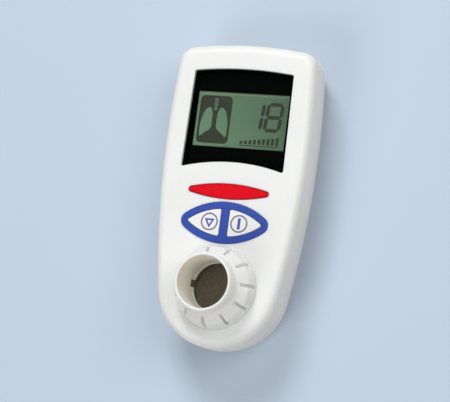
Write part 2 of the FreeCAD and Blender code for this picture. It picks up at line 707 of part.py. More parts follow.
def main_board():
    """The circuit board, cut to the inside of the case, drilled for its four screws."""
    outline = prism(case_wire(WALL + BOARD_EDGE_GAP, BOARD_BOTTOM), BOARD_TOP)
    body = outline.common(block(-HALF_WIDTH, HALF_WIDTH, BOARD_Y0, BOARD_Y1, BOARD_BOTTOM, BOARD_TOP))
    for x, y in standoff_places():
        body = body.cut(rod(x, y, BOARD_BOTTOM - STEP, BOARD_TOP + STEP, BOARD_SCREW_R + CASE_SCREW_HOLE_GAP))
    return body.Solids[0]


def board_screws():
    """Four small screws that hold the board to the front cover."""
    screws = []
    for x, y in standoff_places():
        head = rod(x, y, BOARD_BOTTOM - BOARD_SCREW_HEAD, BOARD_BOTTOM, BOARD_SCREW_HEAD_R)
        shank = rod(x, y, BOARD_BOTTOM, BOARD_TOP + BOARD_SCREW_LENGTH - STEP, BOARD_SCREW_R)
        screws.append(head.fuse(shank).removeSplitter().Solids[0])
    return screws


def case_screws():
    """Four screws that hold the two halves together, with a cross recess in each head."""
    screws = []
    for x, y in boss_places():
        base = COUNTERBORE_DEPTH - CASE_SCREW_HEAD
        head = rod(x, y, base, COUNTERBORE_DEPTH, CASE_SCREW_HEAD_R)
        head = rounded(head, SCREW_HEAD_ROUND, lambda p, z=base: abs(p.z - z) < 1e-6)
        shank = rod(x, y, COUNTERBORE_DEPTH, COUNTERBORE_DEPTH + CASE_SCREW_LENGTH - 2 * STEP, CASE_SCREW_R)
        reach, width = CROSS_REACH, CROSS_WIDTH / 2
        foot = base + CROSS_DEPTH
        cross = block(x - reach, x + reach, y - width, y + width, base - STEP, foot)
        cross = cross.fuse(block(x - width, x + width, y - reach, y + reach, base - STEP, foot))
        screws.append(head.fuse(shank).cut(cross).removeSplitter().Solids[0])
    return screws


def key_frame():
    """The raised leaf-shaped frame with its two openings."""
    body = key_leaf(0, FACE_Z - LEAF_RECESS, FACE_Z + LEAF_PROUD)
    body = rounded(body, LEAF_PROUD / 2, lambda p: abs(p.z - FACE_Z - LEAF_PROUD) < 1e-6)
    base = FACE_Z - 2 * LEAF_RECESS
    for sign in (1, -1):
        body = body.cut(half_leaf(sign, LEAF_BAND, DIVIDER_WIDTH / 2, base, FACE_Z + STEP))
    return body.Solids[0]


def key(sign):
    """A half-leaf key with a flange that keeps it in and a stem down to its switch."""
    top = FACE_Z + LEAF_PROUD - KEY_SUNK
    flange_top = UNDERSIDE_Z - KEY_FLANGE_PLAY
    flange_bottom = flange_top - KEY_FLANGE_THICKNESS
    inner = DIVIDER_WIDTH / 2 + KEY_GAP
    cap = half_leaf(sign, LEAF_BAND + KEY_GAP, inner, flange_bottom, top)
    cap = rounded(cap, KEY_GAP, lambda p: abs(p.z - top) < 1e-6)
    flange_inner = (DIVIDER_WIDTH - KEY_FLANGE) / 2
    flange = half_leaf(sign, LEAF_BAND - KEY_FLANGE, flange_inner, flange_bottom, flange_top)
    stem = rod(sign * SWITCH_X, KEYS_Y, PLUNGER_TOP, flange_bottom + KEY_FLANGE_THICKNESS / 2, KEY_STEM_R)
    return one_solid(cap.fuse(flange).fuse(stem))


def switch_body(sign):
    """The square housing of a push switch, bored for its plunger."""
    half = SWITCH_SIZE / 2
    x = sign * SWITCH_X
    body = block(x - half, x + half, KEYS_Y - half, KEYS_Y + half, BOARD_TOP, BOARD_TOP + SWITCH_HEIGHT)
    floor = PLUNGER_REST_Z - KEY_TRAVEL - KEY_GAP
    return body.cut(rod(x, KEYS_Y, floor, BOARD_TOP + SWITCH_HEIGHT + STEP, PLUNGER_R + PLUNGER_GAP))


def plunger(sign):
    """The switch's plunger, which the key pushes down."""
    return rod(sign * SWITCH_X, KEYS_Y, PLUNGER_REST_Z, PLUNGER_TOP, PLUNGER_R)


def name_plate():
    """The bare lens-shaped badge."""
    base = FACE_Z - BADGE_RECESS
    top = base + BADGE_THICKNESS
    return rounded(badge_leaf(0, base, top), BADGE_EDGE_ROUND, lambda p: abs(p.z - top) < 1e-6)


def sample_chamber():
    """The cup under the port, with its sensor window and the duct that leads the breath out at the back."""
    rim = SLEEVE_END - SEAL_THICKNESS
    cup = rod(0, PORT_Y, CHAMBER_FLOOR_Z, rim, CHAMBER_R)
    reach = PORT_Y - CHAMBER_INNER_R / 2
    duct = block(-DUCT_HALF_WIDTH, DUCT_HALF_WIDTH, PORT_END, reach, WALL, DUCT_TOP)
    duct = duct.common(prism(case_wire(DUCT_INSET, WALL), DUCT_TOP))
    body = cup.fuse(duct.cut(rod(0, PORT_Y, WALL - STEP, CHAMBER_FLOOR_Z, SENSOR_SPACE_R)))
    inner, roof = DUCT_HALF_WIDTH - DUCT_WALL, DUCT_TOP - DUCT_WALL
    channel = block(-inner, inner, PORT_END, PORT_Y, WALL - STEP, roof)
    channel = channel.common(prism(case_wire(CHANNEL_INSET, WALL - STEP), roof))
    channel = channel.cut(rod(0, PORT_Y, WALL - 2 * STEP, DUCT_TOP, CHANNEL_INNER_R))
    mouth = block(-inner, inner, PORT_Y - CHAMBER_R - DUCT_WALL, reach, roof - DUCT_MOUTH_HEIGHT, roof)
    body = body.cut(channel).cut(mouth)
    body = body.cut(rod(0, PORT_Y, CHAMBER_FLOOR_Z + CHAMBER_FLOOR, rim + STEP, CHAMBER_INNER_R))
    return one_solid(body.cut(rod(0, PORT_Y, CHAMBER_FLOOR_Z - STEP, rim, SENSOR_WINDOW_R)))


def dust_filter():
    """The thin filter disc that lies over the sensor's window."""
    floor = CHAMBER_FLOOR_Z + CHAMBER_FLOOR
    return rod(0, PORT_Y, floor, floor + FILTER_THICKNESS, CHAMBER_INNER_R - FILTER_GAP)


def port_seal():
    """The soft ring between the port's sleeve and the chamber."""
    return tube(0, PORT_Y, SLEEVE_END - SEAL_THICKNESS, SLEEVE_END, CHAMBER_R, CHAMBER_INNER_R)


def sensor_seal():
    """The foam ring between the sensor and the chamber's floor."""
    top = CHAMBER_FLOOR_Z
    return tube(0, PORT_Y, top - SENSOR_SEAL_THICKNESS, top, SENSOR_SEAL_R, SENSOR_WINDOW_R)


def pin_places():
    """Where the sensor's pins stand."""
    return [(PIN_CIRCLE_R * math.cos(2 * math.pi * i / PIN_COUNT),
             PORT_Y + PIN_CIRCLE_R * math.sin(2 * math.pi * i / PIN_COUNT)) for i in range(PIN_COUNT)]


def hydrogen_sensor():
    """The electrochemical cell: a round can with three pins."""
    base = sensor_base_z()
    body = rod(0, PORT_Y, base, base + SENSOR_HEIGHT, SENSOR_R)
    body = rounded(body, STEP / 2, lambda p: abs(p.z - base - SENSOR_HEIGHT) < 1e-6)
    for x, y in pin_places():
        body = body.fuse(rod(x, y, sensor_board_z() - STEP / 2, base + STEP, PIN_R))
    return one_solid(body)


def sensor_board():
    """The small round board that the sensor plugs into."""
    body = rod(0, PORT_Y, sensor_board_z(), sensor_base_z(), SENSOR_BOARD_R)
    for x, y in pin_places():
        body = body.cut(rod(x, y, 0, sensor_base_z() + STEP, PIN_R + PLUNGER_GAP))
    return body


def sounder():
    """The round sounder under the main board."""
    y, low = KEYS_Y + SOUNDER_FROM_KEYS, BOARD_BOTTOM - SOUNDER_HEIGHT
    body = rod(SOUNDER_X, y, low, BOARD_BOTTOM, SOUNDER_R)
    return body.cut(rod(SOUNDER_X, y, low - STEP, low + SOUNDER_HEIGHT / 2, PIN_R))


def microcontroller():
    """The square chip under the main board."""
    half, y = CHIP_SIZE / 2, KEYS_Y + CHIP_FROM_KEYS
    return block(CHIP_X - half, CHIP_X + half, y - half, y + half, BOARD_BOTTOM - CHIP_HEIGHT, BOARD_BOTTOM)


def cell_places():
    """The x of each cell and which way its positive end points."""
    return [((i - (CELL_COUNT - 1) / 2) * CELL_PITCH, 1 if i % 2 == 0 else -1) for i in range(CELL_COUNT)]


def battery_cells():
    """The cells, laid side by side with alternate ends up."""
    cells = []
    middle = (BAY_Y0 + BAY_Y1) / 2
    for x, way in cell_places():
        start = V(x, middle - way * CELL_LENGTH / 2, CELL_Z)
        axis = V(0, way, 0)
        can = Part.makeCylinder(CELL_R, CELL_LENGTH - CELL_NUB, start, axis)
        nub = Part.makeCylinder(CELL_NUB_R, CELL_LENGTH, start, axis)
        cells.append(one_solid(can.fuse(nub)))
    return cells


def battery_contacts():
    """A sprung contact at each end of each cell: a flat tag with a bowed leaf."""
    contacts = []
    half = CONTACT_SIZE / 2
    bow_r = BAY_END_SPACE - CONTACT_SHEET - CONTACT_TOUCH_GAP
    for x, _ in cell_places():
        for wall_y, way in ((BAY_Y0, 1), (BAY_Y1, -1)):
            face = wall_y + way * CONTACT_SHEET
            low, high = min(wall_y, face), max(wall_y, face)
            tag = block(x - half, x + half, low, high, CELL_Z - half, CELL_Z + half)
            start = V(x - CONTACT_BOW_WIDTH / 2, face, CELL_Z)
            bow = Part.makeCylinder(bow_r, CONTACT_BOW_WIDTH, start, V(1, 0, 0))
            bow = bow.cut(Part.makeCylinder(bow_r - CONTACT_SHEET, CONTACT_BOW_WIDTH, start, V(1, 0, 0)))
            reach = (face, face + way * bow_r)
            keep = block(x - half, x + half, min(reach), max(reach), CELL_Z - bow_r, CELL_Z + bow_r)
            contacts.append(one_solid(tag.fuse(bow.common(keep))))
    return contacts


def build():
    """Builds every piece and writes it to parts/."""
    os.makedirs("parts", exist_ok=True)
    for name, maker in (
        ("front_cover", front_cover), ("breath_spout", breath_spout), ("rear_cover", rear_cover),
        ("battery_door", battery_door),
        ("display_window", display_window), ("lcd_bezel", lcd_bezel), ("lcd_panel", lcd_panel),
        ("lcd_backlight", lcd_backlight), ("lcd_connector", lcd_connector), ("main_board", main_board),
        ("key_frame", key_frame), ("name_plate", name_plate), ("sample_chamber", sample_chamber),
        ("dust_filter", dust_filter), ("port_seal", port_seal), ("sensor_seal", sensor_seal),
        ("hydrogen_sensor", hydrogen_sensor), ("sensor_board", sensor_board), ("sounder", sounder),
        ("microcontroller", microcontroller),
    ):
        save(name, maker())
    for side, sign in (("left", -1), ("right", 1)):
        save(side + "_key", key(sign))
        save(side + "_switch", switch_body(sign))
        save(side + "_plunger", plunger(sign))
    save("case_screws", *case_screws())
    save("board_screws", *board_screws())
    save("battery_cells", *battery_cells())
    save("battery_contacts", *battery_contacts())


build()
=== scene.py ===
"""A hydrogen breath analyzer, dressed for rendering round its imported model.

The meter lies on its back: +Z points out of the display face and +Y towards the display end.
Lengths are written in millimetres and turned into metres where a mesh, a lamp or the camera is made.
"""

import logging
import math
from dataclasses import dataclass, field
from enum import Enum
from typing import Iterable

import bpy
from mathutils import Euler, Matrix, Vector


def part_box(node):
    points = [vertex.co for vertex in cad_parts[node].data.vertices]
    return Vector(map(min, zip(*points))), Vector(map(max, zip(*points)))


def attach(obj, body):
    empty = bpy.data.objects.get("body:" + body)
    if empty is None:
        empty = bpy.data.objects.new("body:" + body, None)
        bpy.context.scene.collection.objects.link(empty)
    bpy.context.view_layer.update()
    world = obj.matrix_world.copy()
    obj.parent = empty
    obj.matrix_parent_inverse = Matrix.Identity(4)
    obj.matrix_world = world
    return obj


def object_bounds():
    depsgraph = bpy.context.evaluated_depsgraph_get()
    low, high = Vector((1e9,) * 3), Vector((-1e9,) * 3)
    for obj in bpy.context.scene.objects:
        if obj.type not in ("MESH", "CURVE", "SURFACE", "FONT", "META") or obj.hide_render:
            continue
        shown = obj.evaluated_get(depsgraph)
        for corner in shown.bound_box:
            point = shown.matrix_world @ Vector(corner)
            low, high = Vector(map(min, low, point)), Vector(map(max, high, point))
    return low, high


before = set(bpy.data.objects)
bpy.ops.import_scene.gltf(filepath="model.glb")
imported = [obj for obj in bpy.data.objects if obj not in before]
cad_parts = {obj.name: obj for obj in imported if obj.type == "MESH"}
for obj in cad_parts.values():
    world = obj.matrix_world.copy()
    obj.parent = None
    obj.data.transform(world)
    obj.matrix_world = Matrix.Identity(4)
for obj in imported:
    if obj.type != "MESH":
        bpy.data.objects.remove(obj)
CAD_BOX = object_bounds()

LOG = logging.getLogger("breath_analyzer")
MM = 0.001

Colour = tuple[float, float, float]
Point = tuple[float, float]
Outline = list[Point]


def linear(colour: Colour) -> tuple[float, float, float, float]:
    """Turns a colour as seen on a screen, 0 to 255, into Blender's linear one.

    Args:
        colour: Red, green and blue from 0 to 255.

    Returns:
        Red, green, blue and alpha, each from 0 to 1.
    """
    shares = [value / 255 for value in colour]
    bent = [s / 12.92 if s <= 0.04045 else ((s + 0.055) / 1.055) ** 2.4 for s in shares]
    return (bent[0], bent[1], bent[2], 1.0)


def middle_y(node: str) -> float:
    """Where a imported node's middle lies along Y, in millimetres."""
    low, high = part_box(node)
    return (low.y + high.y) / 2 / MM


class Body(Enum):
    """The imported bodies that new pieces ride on."""

    CASE = "case"
    LEFT_KEY = "left_key"
    RIGHT_KEY = "right_key"


class Wire:
    """One output of a material's node tree, with arithmetic that adds Math nodes."""

    def __init__(self, tree: bpy.types.NodeTree, socket: bpy.types.NodeSocket) -> None:
        """Keeps the tree and the socket."""
        self.tree = tree
        self.socket = socket

    def maths(self, operation: str, *others: "Wire | float", first: bool = True) -> "Wire":
        """Adds one Math node.

        Args:
            operation: The node's operation, such as ADD.
            others: The other values or outputs that it works on.
            first: True if this output is the first operand, False if it is the second.

        Returns:
            The node's output.
        """
        node = self.tree.nodes.new("ShaderNodeMath")
        node.operation = operation
        operands = [self, *others] if first else [*others, self]
        for slot, operand in zip(node.inputs, operands):
            if isinstance(operand, Wire):
                self.tree.links.new(operand.socket, slot)
            else:
                slot.default_value = operand
        return Wire(self.tree, node.outputs[0])

    def __add__(self, other: "Wire | float") -> "Wire":
        """This plus other."""
        return self.maths("ADD", other)

    def __radd__(self, other: float) -> "Wire":
        """Other plus this."""
        return self.maths("ADD", other, first=False)

    def __sub__(self, other: "Wire | float") -> "Wire":
        """This minus other."""
        return self.maths("SUBTRACT", other)

    def __rsub__(self, other: float) -> "Wire":
        """Other minus this."""
        return self.maths("SUBTRACT", other, first=False)

    def __mul__(self, other: "Wire | float") -> "Wire":
        """This times other."""
        return self.maths("MULTIPLY", other)

    def __rmul__(self, other: float) -> "Wire":
        """Other times this."""
        return self.maths("MULTIPLY", other, first=False)

    def __truediv__(self, other: "Wire | float") -> "Wire":
        """This over other."""
        return self.maths("DIVIDE", other)

    def __abs__(self) -> "Wire":
        """This without its sign."""
        return self.maths("ABSOLUTE")

    def fract(self) -> "Wire":
        """What this leaves above its whole number."""
        return self.maths("FRACT")

    def above(self, level: float) -> "Wire":
        """1 where this is more than level, else 0."""
        return self.maths("GREATER_THAN", level)

    def below(self, level: float) -> "Wire":
        """1 where this is less than level, else 0."""
        return self.maths("LESS_THAN", level)


class Finish:
    """One material's node tree: a Principled shader and the nodes that feed it."""

    def __init__(self, name: str, **constants: object) -> None:
        """Starts the material.

        Args:
            name: The material's name.
            constants: Values for the shader's sockets that are the same all over, with
                underscores for the spaces in their names.
        """
        self.material = bpy.data.materials.new(name)
        self.material.use_nodes = True
        self.tree = self.material.node_tree
        self.shader = next(n for n in self.tree.nodes if n.type == "BSDF_PRINCIPLED")
        self.output = next(n for n in self.tree.nodes if n.type == "OUTPUT_MATERIAL")
        for key, value in constants.items():
            self.shader.inputs[key.replace("_", " ")].default_value = value

    def node(self, kind: str, settings: dict | None = None, out: int | str = 0, **values: object) -> Wire:
        """Adds one node of any kind.

        Args:
            kind: The node's type, such as ShaderNodeTexNoise.
            settings: What is set on the node before its sockets, such as its operation. The key
                stops gives a ramp's stops as pairs of place and colour.
            out: The output that is wanted, by place or by name.
            values: Values or outputs for the sockets, with underscores for spaces. A key such as
                at_6 names a socket by its place.

        Returns:
            The wanted output.
        """
        node = self.tree.nodes.new(kind)
        for key, value in (settings or {}).items():
            if key == "stops":
                while len(node.color_ramp.elements) < len(value):
                    node.color_ramp.elements.new(0.5)
                for element, (place, colour) in zip(node.color_ramp.elements, value):
                    element.position = place
                    element.color = colour
            else:
                setattr(node, key, value)
        for key, value in values.items():
            slot = node.inputs[int(key[3:])] if key.startswith("at_") else node.inputs[key.replace("_", " ")]
            if isinstance(value, Wire):
                self.tree.links.new(value.socket, slot)
            else:
                slot.default_value = value
        return Wire(self.tree, node.outputs[out])

    def place(self) -> Wire:
        """The point on the piece, in metres."""
        return self.node("ShaderNodeTexCoord", out="Object")

    def axis(self, name: str) -> Wire:
        """One coordinate of the point on the piece, in metres: X, Y or Z."""
        return self.node("ShaderNodeSeparateXYZ", out=name, at_0=self.place())

    def noise(self, size_mm: float, detail: float = 3.0, rough: float = 0.5) -> Wire:
        """Soft noise from 0 to 1.

        Args:
            size_mm: The size of its spots.
            detail: How many finer layers it has.
            rough: How strong the finer layers are.

        Returns:
            The noise.
        """
        return self.node("ShaderNodeTexNoise", out="Fac", Vector=self.place(), Scale=1 / (size_mm * MM),
                         Detail=detail, Roughness=rough)

    def grains(self, size_mm: float) -> Wire:
        """The distance to the nearest of many scattered grains, from 0 to about 1."""
        return self.node("ShaderNodeTexVoronoi", out="Distance", Vector=self.place(),
                         Scale=1 / (size_mm * MM))

    def blend(self, share: "Wire | float", start: Colour | Wire, end: Colour | Wire) -> Wire:
        """A colour between two others.

        Args:
            share: 0 for the first colour, 1 for the second.
            start: The first colour.
            end: The second colour.

        Returns:
            The mixed colour.
        """
        ends = [value if isinstance(value, Wire) else linear(value) for value in (start, end)]
        return self.node("ShaderNodeMix", {"data_type": "RGBA"}, out=2,
                         at_0=share, at_6=ends[0], at_7=ends[1])

    def bump(self, height: Wire, depth_mm: float, strength: float = 1.0) -> None:
        """Feeds a height into the shader's normal.

        Args:
            height: The height, from 0 to 1.
            depth_mm: What a height of 1 means.
            strength: How much of it shows.
        """
        normal = self.node("ShaderNodeBump", Height=height, Distance=depth_mm * MM, Strength=strength)
        self.feed("Normal", normal)

    def roughen(self, low: float, high: float, size_mm: float, detail: float = 3.0,
                rough: float = 0.5) -> None:
        """Feeds the shader a roughness that drifts between two values.

        Args:
            low: The smoothest value.
            high: The roughest value.
            size_mm: The size of the drift's spots.
            detail: How many finer layers the drift has.
            rough: How strong the finer layers are.
        """
        self.feed("Roughness", self.noise(size_mm, detail, rough) * (high - low) + low)

    def feed(self, socket: str, wire: Wire) -> None:
        """Links an output to one of the shader's sockets."""
        self.tree.links.new(wire.socket, self.shader.inputs[socket])


@dataclass(frozen=True)
class MouldedPlastic:
    """Injection-moulded plastic with a fine eroded grain and a slight drift of tone."""

    name: str
    colour: Colour
    roughness: float = 0.42
    grain_mm: float = 0.32
    grain_depth_mm: float = 0.006
    drift: float = 0.02
    drift_mm: float = 26.0
    scuff: float = 0.06
    scuff_mm: float = 4.0
    coat: float = 0.0
    coat_roughness: float = 0.12
    specular: float = 0.5
    translucency: float = 0.0
    scatter: tuple[float, float, float] = (1.0, 0.8, 0.5)
    scatter_mm: float = 2.0

    def material(self) -> bpy.types.Material:
        """Makes the material."""
        finish = Finish(self.name, Coat_Weight=self.coat, Coat_Roughness=self.coat_roughness, IOR=1.5,
                        Specular_IOR_Level=self.specular, Subsurface_Weight=self.translucency,
                        Subsurface_Radius=self.scatter, Subsurface_Scale=self.scatter_mm * MM)
        finish.feed("Base Color", self.tone(finish))
        finish.roughen(self.roughness - self.scuff, self.roughness + self.scuff, self.scuff_mm, 4.0, 0.6)
        finish.bump(finish.noise(self.grain_mm, 2.0), self.grain_depth_mm)
        return finish.material

    def tone(self, finish: Finish) -> Wire:
        """The plastic's colour with its slight drift."""
        deeper = tuple(value * (1 - 2 * self.drift) for value in self.colour)
        return finish.blend(finish.noise(self.drift_mm, 2.0), self.colour, deeper)


@dataclass(frozen=True)
class SpoutPlastic(MouldedPlastic):
    """The case's white plastic, a little yellower inside the bore."""

    bore_tone: Colour = (242, 237, 224)
    bore_radius_mm: float = 11.3
    blend_mm: float = 0.4

    def tone(self, finish: Finish) -> Wire:
        """The plastic's colour, blended into the yellower bore tone inside the bore."""
        across = finish.axis("X") / MM
        along = finish.axis("Y") / MM - middle_y("breath_spout")
        radius = (across * across + along * along).maths("SQRT")
        inside = finish.node("ShaderNodeClamp", Value=(self.bore_radius_mm - radius) / self.blend_mm)
        return finish.blend(inside, super().tone(finish), self.bore_tone)


@dataclass(frozen=True)
class BadgePlastic(MouldedPlastic):
    """The badge's red plastic, with painted shade that darkens it towards its rim."""

    rim_shade_colour: Colour = (176, 8, 20)
    half_length_mm: float = 18.6
    half_height_mm: float = 3.4
    shade_start: float = 0.72

    def tone(self, finish: Finish) -> Wire:
        """The plastic's colour, blended into a painted rim shade near the lens outline."""
        across = finish.axis("X") / (self.half_length_mm * MM)
        along = abs(finish.axis("Y") / MM - middle_y("name_plate"))
        reach = along / (1 - across * across) / self.half_height_mm
        # Painted shade: the colour darkens towards the badge's rim, standing in for its rounded edge turning
        # from the lamps.
        rim = finish.node("ShaderNodeClamp", Value=(reach - self.shade_start) / (1 - self.shade_start))
        return finish.blend(rim, super().tone(finish), self.rim_shade_colour)


@dataclass(frozen=True)
class ClearWindow:
    """Clear hard plastic with hardly any reflection, and a trace of dust and fine scratches."""

    name: str = "clear_window"
    tint: Colour = (244, 248, 246)
    depth: Colour = (8, 9, 9)
    gloss: Colour = (255, 255, 255)
    gloss_roughness: float = 0.05
    index: float = 1.3
    sheen: float = 0.04
    dust: float = 0.0004
    dust_mm: float = 1.4

    def material(self) -> bpy.types.Material:
        """Makes the material: what lies behind, mixed with a weak reflection."""
        finish = Finish(self.name, Roughness=0.06, Base_Color=linear(self.depth))
        clear = finish.node("ShaderNodeBsdfTransparent", Color=linear(self.tint))
        fresnel = finish.node("ShaderNodeFresnel", IOR=self.index)
        gloss = finish.node("ShaderNodeBsdfGlossy", Roughness=self.gloss_roughness, Color=linear(self.gloss))
        share = fresnel * self.sheen + finish.noise(self.dust_mm, 4.0, 0.7) * self.dust
        veil = finish.node("ShaderNodeMixShader", at_0=share, at_1=clear, at_2=gloss)
        finish.tree.links.new(veil.socket, finish.output.inputs["Surface"])
        return finish.material


@dataclass(frozen=True)
class LiquidCrystal:
    """The display's grey-green glass: darker to the right, with a painted highlight band along its top and
    right edges.
    """

    name: str = "liquid_crystal"
    bright: Colour = (122, 149, 120)
    dim: Colour = (92, 115, 93)
    edge_highlight: Colour = (148, 160, 126)
    half_width_mm: float = 20.6
    top_y_mm: float = 44.9
    band_mm: float = 1.5
    right_highlight_start: float = 0.97
    right_highlight_gain: float = 12.0
    dim_across: float = 0.5
    dim_along: float = 0.012
    cloud: float = 0.3
    cloud_mm: float = 14.0
    cell_mm: float = 0.33

    def material(self) -> bpy.types.Material:
        """Makes the material."""
        finish = Finish(self.name, IOR=1.45)
        across = finish.axis("X") / (self.half_width_mm * MM)
        along = finish.axis("Y") / MM
        clouds = finish.noise(self.cloud_mm, 2.0)
        dimming = across * self.dim_across + along * self.dim_along + clouds * self.cloud
        ground = finish.blend(dimming, self.bright, self.dim)
        # Painted highlight: a paler band along the glass's top edge and its right edge, standing in for light
        # caught there.
        top_highlight = (along + (self.band_mm - self.top_y_mm)) / self.band_mm
        right_highlight = (across - self.right_highlight_start) * self.right_highlight_gain
        lit = finish.node("ShaderNodeClamp", Value=top_highlight.maths("MAXIMUM", right_highlight))
        finish.feed("Base Color", finish.blend(lit, ground, self.edge_highlight))
        finish.roughen(0.35, 0.5, 3.0)
        finish.bump(finish.grains(self.cell_mm), 0.002)
        return finish.material


@dataclass(frozen=True)
class Ink:
    """Pad-printed ink, with slightly uneven cover."""

    name: str
    colour: Colour
    faded: Colour
    cover_mm: float = 0.5

    def material(self) -> bpy.types.Material:
        """Makes the material."""
        finish = Finish(self.name)
        cover = finish.noise(self.cover_mm, 3.0, 0.7)
        finish.feed("Base Color", finish.blend(cover, self.colour, self.faded))
        finish.roughen(0.43, 0.58, 1.1)
        finish.bump(finish.noise(0.12, 2.0), 0.002)
        return finish.material


@dataclass(frozen=True)
class Metal:
    """Plated or drawn metal with fine scratches."""

    name: str
    colour: Colour
    tarnish: Colour
    roughness: float = 0.3
    wear: float = 0.1
    scratch_mm: float = 0.2

    def material(self) -> bpy.types.Material:
        """Makes the material."""
        finish = Finish(self.name, Metallic=1.0)
        finish.feed("Base Color", finish.blend(finish.noise(2.5, 4.0, 0.6), self.colour, self.tarnish))
        finish.roughen(self.roughness - self.wear, self.roughness + self.wear, 1.5)
        finish.bump(finish.noise(self.scratch_mm, 3.0, 0.7), 0.004)
        return finish.material


@dataclass(frozen=True)
class SolderMask:
    """A circuit board: green mask over copper tracks."""

    name: str = "solder_mask"
    mask: Colour = (26, 92, 52)
    track: Colour = (44, 124, 74)
    pitch_mm: float = 1.27
    track_share: float = 0.35
    wander: float = 3.0
    wander_mm: float = 9.0

    def material(self) -> bpy.types.Material:
        """Makes the material."""
        finish = Finish(self.name, Coat_Weight=0.3, Coat_Roughness=0.2)
        bend = finish.noise(self.wander_mm, 1.0) * self.wander
        tracks = (finish.axis("X") / (self.pitch_mm * MM) + bend).fract().below(self.track_share)
        finish.feed("Base Color", finish.blend(tracks, self.mask, self.track))
        finish.roughen(0.3, 0.4, 2.0)
        finish.bump(tracks, 0.02)
        return finish.material


@dataclass(frozen=True)
class OpenFoam:
    """Open-cell foam or filter felt."""

    name: str
    colour: Colour
    pore: Colour
    pore_mm: float = 0.45

    def material(self) -> bpy.types.Material:
        """Makes the material."""
        finish = Finish(self.name)
        pores = finish.grains(self.pore_mm)
        finish.feed("Base Color", finish.blend(pores, self.pore, self.colour))
        finish.roughen(0.85, 0.95, 1.0)
        finish.bump(pores, 0.12)
        return finish.material


@dataclass(frozen=True)
class CellSleeve:
    """A battery cell's printed sleeve, with bare metal at both ends."""

    name: str = "cell_sleeve"
    sleeve: Colour = (38, 44, 52)
    band: Colour = (150, 118, 62)
    steel: Colour = (205, 206, 204)
    half_length_mm: float = 21.9
    band_mm: float = 9.0

    def material(self) -> bpy.types.Material:
        """Makes the material."""
        finish = Finish(self.name)
        along = finish.axis("Y") / MM - middle_y("battery_cells")
        ends = abs(along).above(self.half_length_mm)
        collar = along.above(self.half_length_mm - self.band_mm)
        body = finish.blend(collar, self.sleeve, self.band)
        finish.feed("Base Color", finish.blend(ends, body, self.steel))
        finish.feed("Metallic", ends)
        finish.roughen(0.25, 0.37, 2.0)
        finish.bump(finish.noise(0.6), 0.006)
        return finish.material


def smooth_by_angle(obj: bpy.types.Object, degrees: float) -> None:
    """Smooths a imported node's shading with a modifier, and leaves its mesh alone.

    Args:
        obj: The node.
        degrees: Edges that turn by more than this stay sharp.
    """
    group = bpy.data.node_groups.get("smooth_shading") or shading_group(degrees)
    modifier = obj.modifiers.new("smooth_shading", "NODES")
    modifier.node_group = group


def shading_group(degrees: float) -> bpy.types.NodeTree:
    """Makes the node group that joins split vertices and smooths all but sharp edges.

    Args:
        degrees: Edges that turn by more than this stay sharp.

    Returns:
        The node group.
    """
    weld_mm = 0.002
    tree = bpy.data.node_groups.new("smooth_shading", "GeometryNodeTree")
    tree.interface.new_socket("Geometry", in_out="INPUT", socket_type="NodeSocketGeometry")
    tree.interface.new_socket("Geometry", in_out="OUTPUT", socket_type="NodeSocketGeometry")
    start = tree.nodes.new("NodeGroupInput")
    end = tree.nodes.new("NodeGroupOutput")
    bare = tree.nodes.new("GeometryNodeRemoveAttribute")
    bare.inputs["Name"].default_value = "custom_normal"
    weld = tree.nodes.new("GeometryNodeMergeByDistance")
    weld.inputs["Distance"].default_value = weld_mm * MM
    angle = tree.nodes.new("GeometryNodeInputMeshEdgeAngle")
    soft = tree.nodes.new("FunctionNodeCompare")
    soft.operation = "LESS_THAN"
    soft.inputs[1].default_value = math.radians(degrees)
    edges = tree.nodes.new("GeometryNodeSetShadeSmooth")
    edges.domain = "EDGE"
    faces = tree.nodes.new("GeometryNodeSetShadeSmooth")
    faces.domain = "FACE"
    tree.links.new(start.outputs[0], bare.inputs["Geometry"])
    tree.links.new(bare.outputs["Geometry"], weld.inputs["Geometry"])
    tree.links.new(weld.outputs["Geometry"], faces.inputs["Geometry"])
    tree.links.new(faces.outputs["Geometry"], edges.inputs["Geometry"])
    tree.links.new(angle.outputs["Unsigned Angle"], soft.inputs[0])
    tree.links.new(soft.outputs[0], edges.inputs["Shade Smooth"])
    tree.links.new(edges.outputs["Geometry"], end.inputs[0])
    return tree


def circle(centre: Point, radius: float, steps: int = 64) -> Outline:
    """A round outline.

    Args:
        centre: Its middle.
        radius: Its radius.
        steps: How many points it has.

    Returns:
        The points, anticlockwise.
    """
    turns = [2 * math.pi * i / steps for i in range(steps)]
    return [(centre[0] + radius * math.cos(a), centre[1] + radius * math.sin(a)) for a in turns]


def soft_corners(corners: Outline, radius: float, steps: int = 5) -> Outline:
    """An outline with its corners rounded.

    Args:
        corners: The corners, anticlockwise.
        radius: How far each rounding reaches along its two sides.
        steps: How many points a rounding has.

    Returns:
        The points.
    """
    points = []
    for i, corner in enumerate(corners):
        here = Vector(corner)
        back = (Vector(corners[i - 1]) - here).normalized() * radius
        ahead = (Vector(corners[(i + 1) % len(corners)]) - here).normalized() * radius
        for step in range(steps + 1):
            share = step / steps
            point = here + back * (1 - share) ** 2 + ahead * share ** 2
            points.append((point.x, point.y))
    return points


def box_outline(x: float, y: float, width: float, height: float, radius: float) -> Outline:
    """An upright rectangle with rounded corners.

    Args:
        x: Its middle across.
        y: Its middle along.
        width: Its width.
        height: Its height.
        radius: How far its roundings reach.

    Returns:
        The points.
    """
    left, right = x - width / 2, x + width / 2
    low, high = y - height / 2, y + height / 2
    return soft_corners([(left, low), (right, low), (right, high), (left, high)], radius)


